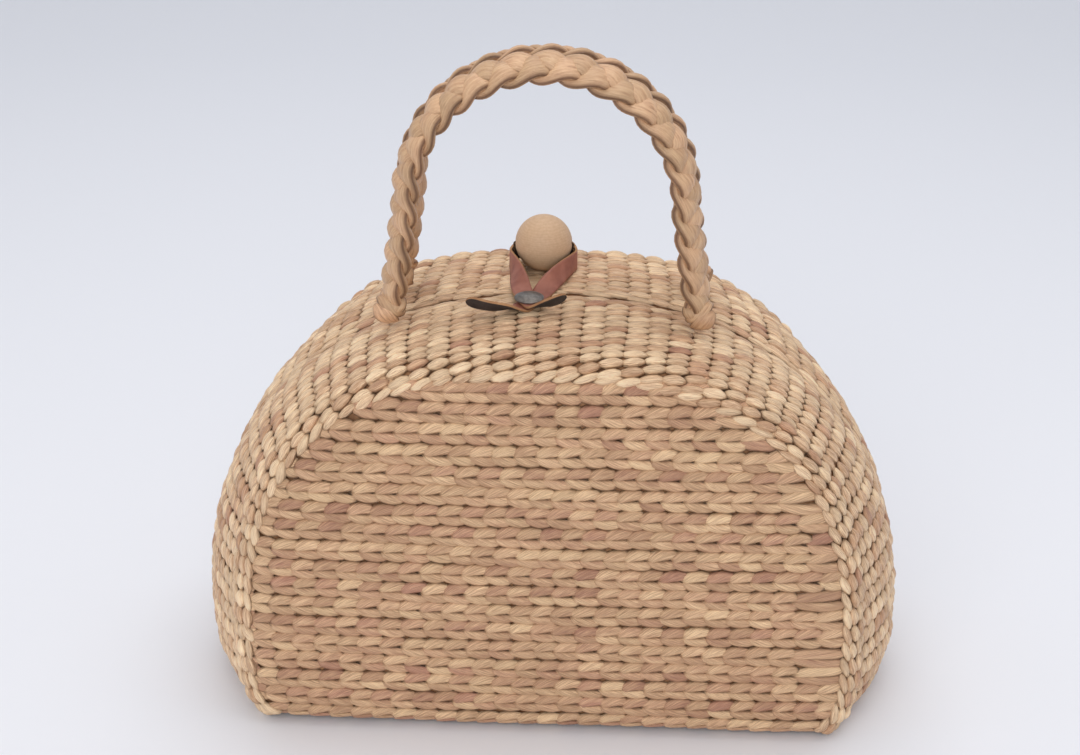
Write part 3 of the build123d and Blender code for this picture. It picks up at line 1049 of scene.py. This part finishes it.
# %% Tubes
def tube(name, rings, material):
    """A closed tube through rings of points, with a stitch UV: along the tube, and round it."""
    bm = bmesh.new()
    layer = bm.loops.layers.uv.new("stitch")
    around = len(rings[0])
    count = len(rings)
    bmesh.ops.create_grid(bm, x_segments=count - 1, y_segments=around, size=0.5)
    spots = {}
    for vert in bm.verts:
        spots[vert] = (round((vert.co.x + 0.5) * (count - 1)), round((vert.co.y + 0.5) * around))
    for face in bm.faces:
        for loop in face.loops:
            step, turn = spots[loop.vert]
            loop[layer].uv = (step / (count - 1), turn / around)
    for vert, (step, turn) in spots.items():
        vert.co = rings[step][turn % around]
    bmesh.ops.remove_doubles(bm, verts=bm.verts, dist=1e-6)
    rim = [edge for edge in bm.edges if edge.is_boundary]
    bmesh.ops.holes_fill(bm, edges=rim, sides=0)
    bmesh.ops.recalc_face_normals(bm, faces=bm.faces)
    return piece_from(bm, name, material)


def mark(made, tone, shade):
    """Give a whole piece its tone and shade."""
    for label, value in (("tone", tone), ("shade", shade)):
        made.data.attributes.new(label, "FLOAT", "POINT").data.foreach_set(
            "value", [value] * len(made.data.vertices))
    return made


print("ready to make tubes")

# %% [markdown]
# A strand is a flattened tube that swings across the band and dips out of its face while it follows
# the handle's line. Its cross-section is a little squarer than an ellipse, as flat strips are when
# they are pressed together. Near the feet the plait is pulled narrower. The swing is a plain sine, with
# a small drift along the handle so that the turns aren't all the same length.

# %% Strands
STRAND_WIDE = 0.0055
STRAND_THICK = 0.0025
PLAIT_TURNS = 8
FOOT_RISE = 0.0035
STEPS_PER_TURN = 26
STRAND_SIDES = 14
FOOT_TAPER = 0.012
FOOT_NARROW = 0.45
STRAND_OVERLAP = 0.0002
TURN_DRIFT = 0.018
SQUARENESS = 0.85


def squared(value):
    """A sine or cosine that stays longer near 1 and -1."""
    return abs(value) ** SQUARENESS * (1 if value > 0 else -1)


def strand(name, side, phase):
    """One of the three strands of a handle. phase says where in the plait's turn it starts."""
    swing = PLAIT_WIDTH / 2 - STRAND_WIDE
    dip = PLAIT_THICKNESS / 2 - STRAND_THICK + STRAND_OVERLAP
    steps = PLAIT_TURNS * STEPS_PER_TURN
    middles = []
    for k in range(steps + 1):
        travel = FOOT_RISE + (line_length - 2 * FOOT_RISE) * k / steps
        share = k / steps
        drift = TURN_DRIFT * math.sin(2 * math.pi * share)
        angle = 2 * math.pi * PLAIT_TURNS * (share + drift) + phase
        spot, across, face = handle_frame(side, travel)
        from_end = min(travel, line_length - travel) - FOOT_RISE
        narrow = FOOT_NARROW + (1 - FOOT_NARROW) * min(from_end / FOOT_TAPER, 1.0)
        aside = across * swing * narrow * math.sin(angle)
        middles.append((spot + aside - face * dip * math.sin(2 * angle), across, face))
    rings = []
    for k, (middle, across, face) in enumerate(middles):
        ahead = (middles[min(k + 1, steps)][0] - middles[max(k - 1, 0)][0]).normalized()
        wide = face.cross(ahead).normalized()
        thick = ahead.cross(wide)
        ring = []
        for turn in range(STRAND_SIDES):
            theta = 2 * math.pi * turn / STRAND_SIDES
            ring.append(middle + wide * STRAND_WIDE * squared(math.cos(theta))
                        + thick * STRAND_THICK * squared(math.sin(theta)))
        rings.append(ring)
    return tube(name, rings, plait_straw)


handles = {}
for side, where in ((1, "front"), (-1, "back")):
    handles[where] = []
    for number in range(3):
        made = strand(f"{where}_handle_strand_{number + 1}", side, 2 * math.pi * number / 3)
        handles[where].append(mark(made, 0.10 + 0.12 * number, 0.4 + 0.2 * number))
print("strands", sum(len(o.data.polygons) for group in handles.values() for o in group), "faces")

# %% [markdown]
# At each foot the strands' ends are folded over and pushed back into the bag. What shows is a few
# broad leaves that lie round the foot, each falling across it from one side to the other. A leaf is
# a flattened tube, thick in its middle and pointed at its ends. The leaves keep within the foot's
# radius round the swing axis, so they clear the gusset when the handle swings.

# %% Folded feet
LEAF_STEPS = 22
LEAF_SIDES = 14
LEAF_WIDE = 0.0043
LEAF_THICK = 0.0020
LEAF_ORBIT = 0.0045
LEAF_LIFT = 0.0012
# Painted shade darkens each leaf along its sides and towards its ends.
leaf_straw = straw("straw_leaf", PLAIT_STRAW, 3.0, 34.0, painted_edge_shade=0.70, round_strand=True)
leaf_table = [  # from and to: millimetres across the foot, degrees round the swing axis from the top
    (-5.0, -35, 4.5, 105),
    (-6.0, 45, 3.0, 165),
    (4.5, -10, 1.0, 95),
    (5.0, -40, -3.0, -165),
    (-4.0, -60, 5.0, -150),
]


def leaf(name, side, end, row, chance):
    """A leaf round the foot: it starts at one place and angle and ends at another."""
    start_x, start_turn, end_x, end_turn = row
    middle = Vector((HANDLE_SHIFT + end * FOOT_SPREAD, -side * FOOT_SETBACK, foot_level + LEAF_LIFT))
    spots = []
    for k in range(LEAF_STEPS + 1):
        share = k / LEAF_STEPS
        turn = math.radians(start_turn + (end_turn - start_turn) * share)
        out = Vector((0, -side * math.sin(turn), math.cos(turn)))
        x = -end * (start_x + (end_x - start_x) * share) / 1000
        spots.append((middle + Vector((x, 0, 0)) + out * LEAF_ORBIT, out))
    rings = []
    for k, (spot, out) in enumerate(spots):
        ahead = (spots[min(k + 1, LEAF_STEPS)][0] - spots[max(k - 1, 0)][0]).normalized()
        across = ahead.cross(out).normalized()
        full = 0.16 + 0.84 * math.sin(math.pi * k / LEAF_STEPS) ** 0.7
        rings.append([spot + across * LEAF_WIDE * full * math.cos(2 * math.pi * j / LEAF_SIDES)
                      + out * LEAF_THICK * full * math.sin(2 * math.pi * j / LEAF_SIDES)
                      for j in range(LEAF_SIDES)])
    return mark(tube(name, rings, leaf_straw), clamp(chance.gauss(0.3, 0.15)), chance.random())


chance = random.Random(41)
for side, where in ((1, "front"), (-1, "back")):
    for end, hand in ((-1, "left"), (1, "right")):
        for number, row in enumerate(leaf_table):
            name = f"{where}_handle_{hand}_leaf_{number + 1}"
            handles[where].append(leaf(name, side, end, row, chance))
print("handle pieces", sum(len(group) for group in handles.values()))

# %% [markdown]
# The clasp is a ball turned from pale wood, held by a cord through its bore. A lathe makes the real one,
# and a full spin of its profile round the bore's axis does the same here. A plain sphere would have
# no bore, and cutting one with a Boolean leaves untidy faces.

# %% Turned shapes
BALL_X = -0.005
BALL_Y = 0.026
BALL_RADIUS = 0.012
BORE_RADIUS = 0.002
SEAT_GAP = 0.0003
BALL_STEPS = 28
SPIN_STEPS = 64
LIP_WIDTH = 0.0003
LIP_DEPTH = 0.0004
ball_level = dome_height(BALL_X, BALL_Y) + RIB_RISE + SEAT_GAP + BALL_RADIUS


def turned(name, profile, axis, place, material):
    """A full spin of a profile given as (along the axis, distance from it)."""
    bm = bmesh.new()
    side = axis.orthogonal().normalized()
    verts = [bm.verts.new(axis * along + side * away) for along, away in profile]
    edges = [bm.edges.new(pair) for pair in zip(verts, verts[1:])]
    bmesh.ops.spin(bm, geom=verts + edges, cent=(0, 0, 0), axis=axis, dvec=(0, 0, 0),
                   angle=2 * math.pi, steps=SPIN_STEPS, use_merge=True, use_duplicate=False)
    bmesh.ops.remove_doubles(bm, verts=bm.verts, dist=1e-6)
    bmesh.ops.translate(bm, verts=bm.verts, vec=place)
    bmesh.ops.recalc_face_normals(bm, faces=bm.faces)
    return piece_from(bm, name, material)


bore_edge = math.acos(BORE_RADIUS / BALL_RADIUS)
half_bore = BALL_RADIUS * math.sin(bore_edge)
ball_profile = [(half_bore - LIP_DEPTH, BORE_RADIUS), (half_bore, BORE_RADIUS + LIP_WIDTH)]
for k in range(1, BALL_STEPS):
    angle = bore_edge - 2 * bore_edge * k / BALL_STEPS
    ball_profile.append((BALL_RADIUS * math.sin(angle), BALL_RADIUS * math.cos(angle)))
ball_profile.append((-half_bore, BORE_RADIUS + LIP_WIDTH))
ball_profile.append((-half_bore + LIP_DEPTH, BORE_RADIUS))
ball_profile.append(ball_profile[0])
print("points in the ball's profile", len(ball_profile))

# %% [markdown]
# Pale wood that has been turned and left bare shows fine lines and pores, and hardly shines. Waves give
# the lines and noise the pores. Both are kept faint, because the ball is small in the picture.

# %% Clasp ball
wood = Finish("turned_wood")
spot = wood.node("TexCoord", output=3)
rings = wood.node("TexWave", {"wave_type": "BANDS", "bands_direction": "Z"},
                  {"Vector": spot, "Scale": 330.0, "Distortion": 6.0, "Detail": 2.0, "Detail Scale": 0.6},
                  output=1)
pores = wood.node("TexNoise", inputs={"Vector": spot, "Scale": 900.0, "Detail": 3.0})
tint = wood.node("ValToRGB", {"stops": [(0.0, colour(196, 160, 126)), (1.0, colour(222, 190, 156))]},
                 {0: rings * 0.15 + pores * 0.85})
lines = wood.node("Bump", inputs={"Height": rings, "Strength": 0.08, "Distance": 0.0002})
turned_wood = wood.finish(Base_Color=tint, Roughness=0.62 - rings * 0.1, Normal=lines)
ball = turned("turned_ball", ball_profile, Vector((1, 0, 0)), Vector((BALL_X, BALL_Y, ball_level)),
              turned_wood)
print("ball", len(ball.data.polygons), "faces")

# %% [markdown]
# The strap is one strip of leather. Its middle stands on edge round the ball, both halves come
# forward to the rivet, where they lie flat and cross, and the two tails spread past it. The table
# says where the strip's middle line passes, which way it heads, and how far it leans on its edge.
# A smooth curve through these places gives every step between them.

# %% Strap route
STRAP_WIDTH = 0.0082
STRAP_THICKNESS = 0.0010
RIVET_X, RIVET_Y = -9.0, -12.0
LOOP_SIDE, LOOP_BACK = 13.75, 40.4
LAYER_LOW, LAYER_HIGH = 179.727, 181.177
bend, behind = math.sqrt(0.5), LOOP_BACK - BALL_Y * 1000
ball_mm = (BALL_X * 1000, BALL_Y * 1000)
strap_route = [  # millimetres and degrees: x, y, level, heading, roll
    (RIVET_X - 25.0, RIVET_Y - 9.5, LAYER_LOW + 1.6, 76, 52),
    (RIVET_X - 16.0, RIVET_Y - 10.5, LAYER_LOW + 0.2, 82, 48),
    (RIVET_X - 8.5, RIVET_Y - 9.5, LAYER_LOW, 70, 34),
    (RIVET_X - 3.2, RIVET_Y - 5.7, LAYER_LOW, 30, 0),
    (RIVET_X + 3.2, RIVET_Y + 5.7, LAYER_LOW, 27, 0),
    (RIVET_X + 7.5, RIVET_Y + 14.4, LAYER_LOW, 26, -32),
    (ball_mm[0] + 7.9, ball_mm[1] - 15.0, LAYER_LOW, 26, -62),
    (ball_mm[0] + 12.2, ball_mm[1] - 6.3, LAYER_LOW, 22, -84),
    (ball_mm[0] + LOOP_SIDE, ball_mm[1], LAYER_LOW, 0, -90),
    (ball_mm[0] + bend * LOOP_SIDE, ball_mm[1] + bend * behind, LAYER_LOW, -45, -90),
    (ball_mm[0], LOOP_BACK, LAYER_LOW, -90, -90),
    (ball_mm[0] - bend * LOOP_SIDE, ball_mm[1] + bend * behind, LAYER_LOW, -135, -90),
    (ball_mm[0] - LOOP_SIDE, ball_mm[1], LAYER_LOW, -180, -90),
    (ball_mm[0] - 13.2, ball_mm[1] - 5.5, LAYER_LOW, -190, -84),
    (ball_mm[0] - 11.1, ball_mm[1] - 13.5, LAYER_LOW + 0.3, -193, -62),
    (RIVET_X - 4.9, RIVET_Y + 14.5, LAYER_HIGH - 0.4, -194, -32),
    (RIVET_X - 2.6, RIVET_Y + 5.9, LAYER_HIGH, -200, 0),
    (RIVET_X + 2.6, RIVET_Y - 5.9, LAYER_HIGH, -205, 0),
    (RIVET_X + 8.0, RIVET_Y - 8.4, LAYER_HIGH, -252, 38),
    (RIVET_X + 15.5, RIVET_Y - 6.6, LAYER_HIGH + 1.6, -282, 54),
]
STEPS_BETWEEN = 10


def smooth_route(route):
    """Points on a curve through every row of the table (a Catmull-Rom spline)."""
    made = []
    last = len(route) - 1
    for k in range(last):
        before, after = route[max(k - 1, 0)], route[min(k + 2, last)]
        here, there = route[k], route[k + 1]
        for step in range(STEPS_BETWEEN):
            t = step / STEPS_BETWEEN
            made.append([0.5 * (2 * b + (c - a) * t + (2 * a - 5 * b + 4 * c - d) * t * t
                                + (3 * b - a - 3 * c + d) * t**3)
                         for a, b, c, d in zip(before, here, there, after)])
    made.append(list(route[-1]))
    return made


strap_steps = smooth_route(strap_route)
print("steps along the strap", len(strap_steps))

# %% [markdown]
# The strap is red-brown on its outer face, nearly black on its inner face, and raw and pale on its cut
# edges. All three are the same kind of surface: small cells for the grain, and soft clouds for the
# uneven dye. So one function makes them from two colours and a roughness.

# %% Leather
def leather(name, dark, light, rough):
    """Leather between a dark and a light colour."""
    finish = Finish(name)
    spot = finish.node("TexCoord", output=3)
    grain = finish.node("TexVoronoi", {"feature": "DISTANCE_TO_EDGE"}, {"Vector": spot, "Scale": 1500.0})
    cloud = finish.node("TexNoise", inputs={"Vector": spot, "Scale": 170.0, "Detail": 3.0})
    tint = finish.node("ValToRGB", {"stops": [(0.25, dark), (0.75, light)]}, {0: cloud})
    bump = finish.node("Bump", inputs={"Height": grain, "Strength": 0.35, "Distance": 0.0003})
    return finish.finish(Base_Color=tint, Roughness=rough - cloud * 0.15, Normal=bump)


leather_outer = leather("leather_outer", colour(142, 84, 68), colour(172, 110, 90), 0.60)
leather_inner = leather("leather_inner", colour(44, 38, 38), colour(74, 66, 64), 0.80)
leather_edge = leather("leather_cut_edge", colour(150, 104, 70), colour(196, 150, 106), 0.90)
print("leather", leather_outer.name, leather_inner.name, leather_edge.name)

# %% [markdown]
# The strip itself is a long grid bent along the route and rounded at its ends. Solidify gives it its
# thickness. Then each face is given its leather: the faces that were there before are the outer side,
# the narrow faces at a sharp angle to them are the cut edge, and the rest is the inner side.

# %% Strap
STRAP_ACROSS = 8
END_ROUNDING = STRAP_WIDTH * 0.55
TIP_WIDTH = 0.02
SHARP_ANGLE = 1.0


def strap_point(step, share, from_end):
    """A point of the strip. share runs from -1 to 1 across it."""
    x, y, level, heading, roll = strap_steps[step]
    heading, roll = math.radians(heading), math.radians(roll)
    across = Vector((math.cos(heading) * math.cos(roll), -math.sin(heading) * math.cos(roll),
                     math.sin(roll)))
    round_end = math.sqrt(max(1 - max(1 - from_end / END_ROUNDING, 0) ** 2, 0))
    rise = STRAP_WIDTH / 2 * abs(math.sin(roll))
    middle = Vector((x / 1000, y / 1000, level / 1000 + rise))
    return middle + across * share * STRAP_WIDTH / 2 * max(round_end, TIP_WIDTH)


def strap():
    """The strap as a bmesh, and the set of its outer faces."""
    count = len(strap_steps) - 1
    lengths = [0.0]
    for a, b in zip(strap_steps, strap_steps[1:]):
        lengths.append(lengths[-1] + math.dist(a[:2], b[:2]) / 1000)
    bm = bmesh.new()
    bmesh.ops.create_grid(bm, x_segments=count, y_segments=STRAP_ACROSS, size=0.5)
    for vert in bm.verts:
        step = round((vert.co.x + 0.5) * count)
        from_end = min(lengths[step], lengths[-1] - lengths[step])
        vert.co = strap_point(step, vert.co.y * 2, from_end)
    bmesh.ops.recalc_face_normals(bm, faces=bm.faces)
    flat = nearest_face(bm, Vector((RIVET_X, RIVET_Y, LAYER_LOW)) / 1000)
    if flat.normal.z < 0:
        bmesh.ops.reverse_faces(bm, faces=bm.faces)
    for vert in bm.verts:
        vert.co += vert.normal * STRAP_THICKNESS / 2
    outer = set(bm.faces)
    bmesh.ops.solidify(bm, geom=bm.faces, thickness=STRAP_THICKNESS)
    return bm, outer


strap_bm, strap_top = strap()
for face in strap_bm.faces:
    sharp = any(edge.calc_face_angle(0) > SHARP_ANGLE for edge in face.edges)
    neighbours = {other in strap_top for edge in face.edges for other in edge.link_faces}
    if face in strap_top:
        face.material_index = 0
    elif sharp and len(neighbours) == 2:
        face.material_index = 2
    else:
        face.material_index = 1
leather_strap = piece_from(strap_bm, "leather_strap", leather_outer, leather_inner, leather_edge)
strap_faces = leather_strap.data.polygons
print("strap faces", [sum(face.material_index == k for face in strap_faces) for k in range(3)])

# %% [markdown]
# The rivet, the washer behind it and the ball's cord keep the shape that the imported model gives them,
# and only need a surface. Dull grey metal with fine scratches suits a plain rivet, and a wave across
# the cord gives the twist of waxed thread.

# %% Metal and cord
metal = Finish("rivet_metal")
metal_spot = metal.node("TexCoord", output=3)
scratch = metal.node("TexNoise", inputs={"Vector": metal_spot, "Scale": 700.0, "Detail": 4.0})
metal_stops = [(0.3, colour(112, 108, 104)), (0.7, colour(152, 148, 143))]
metal_tint = metal.node("ValToRGB", {"stops": metal_stops}, {0: scratch})
metal_bump = metal.node("Bump", inputs={"Height": scratch, "Strength": 0.2, "Distance": 0.0001})
rivet_metal = metal.finish(Base_Color=metal_tint, Metallic=1.0, Roughness=0.38 + scratch * 0.2,
                           Normal=metal_bump)

thread = Finish("waxed_cord")
thread_spot = thread.node("TexCoord", output=3)
twist = thread.node("TexWave", {"bands_direction": "DIAGONAL"},
                    {"Vector": thread_spot, "Scale": 420.0}, output=1)
thread_stops = [(0.2, colour(60, 42, 28)), (0.8, colour(104, 78, 54))]
thread_tint = thread.node("ValToRGB", {"stops": thread_stops}, {0: twist})
thread_bump = thread.node("Bump", inputs={"Height": twist, "Strength": 0.5, "Distance": 0.0002})
waxed_cord = thread.finish(Base_Color=thread_tint, Roughness=0.55 + twist * 0.15, Normal=thread_bump)

for node, material in (("rivet", rivet_metal), ("rivet_washer", rivet_metal), ("ball_cord", waxed_cord)):
    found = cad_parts[node]
    found.data.materials.clear()
    found.data.materials.append(material)
print("metal and cord set")

# %% [markdown]
# The model's bodies move at its joints: the mouth opens, the handles swing and the loop lifts. The
# woven pieces, the handle pieces and the ball ride on the bodies that they belong to, and take the
# place of the plain solids there. In the model the strap is fixed to the front half and its loop
# lifts, but the leather strap made here is only baked in place and rides on no body.

# %% Ride on the bodies
weave["front"] += base_weave + [front_wall, base_plate]
weave["back"] += [back_wall]
for where, body, node in (("front", "front_half", "front_tray"), ("back", "back_half", "back_tray")):
    for piece in weave[where]:
        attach(piece, body)
        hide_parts(node)
    for piece in handles[where]:
        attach(piece, where + "_grip")
        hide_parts(where + "_handle")
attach(ball, "back_half")
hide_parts("clasp_ball")
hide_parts("closure_strap")
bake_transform(leather_strap)
print("all pieces ride on their bodies")

# %% [markdown]
# A photographer's backdrop is a sheet of paper that lies flat and curves up behind the object, so that
# no horizon shows. A grid makes it: flat up to its last part, which follows a quarter circle and then
# climbs. It is nearly white, with painted shade that makes it a little darker towards the back, where the
# light falls off.

# %% Backdrop
FLOOR_WIDTH = 10.0
FLOOR_FRONT = -5.0
CURVE_START = 1.2
CURVE_RADIUS = 0.8
FLAT_SHARE = 0.6
CLIMB_START = 0.9
CLIMB = 12.0
floor = Finish("pale_backdrop")
floor_spot = floor.node("TexCoord", output=3)
_, far, _ = floor.parts(floor_spot)
cloud = floor.node("TexNoise", inputs={"Vector": floor_spot, "Scale": 1.2, "Detail": 1.0})
# Painted shade: the backdrop is a little darker towards the back, where the light falls off.
floor_stops = [(0.15, colour(238, 239, 244)), (0.75, colour(230, 232, 238))]
floor_tint = floor.node("ValToRGB", {"stops": floor_stops}, {0: far * 0.8 + cloud * 0.1})
floor_material = floor.finish(Base_Color=floor_tint, Roughness=0.85)

floor_bm = bmesh.new()
bmesh.ops.create_grid(floor_bm, x_segments=1, y_segments=24, size=0.5)
for vert in floor_bm.verts:
    share = vert.co.y + 0.5
    y = FLOOR_FRONT + (CURVE_START - FLOOR_FRONT) * min(share / FLAT_SHARE, 1.0)
    z = 0.0
    if share > FLAT_SHARE:
        turn = (share - FLAT_SHARE) / (1 - FLAT_SHARE)
        y = CURVE_START + CURVE_RADIUS * math.sin(turn * math.pi / 2)
        z = CURVE_RADIUS * (1 - math.cos(turn * math.pi / 2)) + CLIMB * max(turn - CLIMB_START, 0)
    vert.co = Vector((vert.co.x * FLOOR_WIDTH, y, z))
backdrop = piece_from(floor_bm, "backdrop", floor_material)
print("backdrop", [round(v, 2) for v in backdrop.dimensions])

# %% [markdown]
# The photograph has soft light from all sides and no hard shadow, as in a light tent. An even, slightly
# blue world gives most of it. Two large area lamps, above and in front, add the soft shine on the
# stitches and the faint shadow under the bag.

# %% Light
AIM = Vector((0, 0, 0.1))
WORLD_TINT = (0.96, 0.97, 1.0, 1)
WORLD_STRENGTH = 0.62

world = bpy.data.worlds.new("studio")
bpy.context.scene.world = world
world.use_nodes = True
world.node_tree.nodes["Background"].inputs[0].default_value = WORLD_TINT
world.node_tree.nodes["Background"].inputs[1].default_value = WORLD_STRENGTH


def lamp(name, place, size, power):
    """A rectangular area lamp that looks at the bag."""
    data = bpy.data.lights.new(name, "AREA")
    data.shape = "RECTANGLE"
    data.size, data.size_y = size
    data.energy = power
    made = bpy.data.objects.new(name, data)
    made.location = place
    made.rotation_mode = "QUATERNION"
    made.rotation_quaternion = (AIM - Vector(place)).to_track_quat("-Z", "Y")
    bpy.context.scene.collection.objects.link(made)


lamp("soft_top", (0.1, 0.25, 1.5), (1.4, 1.0), 8)
lamp("soft_front", (-0.25, -1.45, 1.0), (1.4, 0.9), 8.5)
bpy.context.scene.view_settings.view_transform = "Standard"
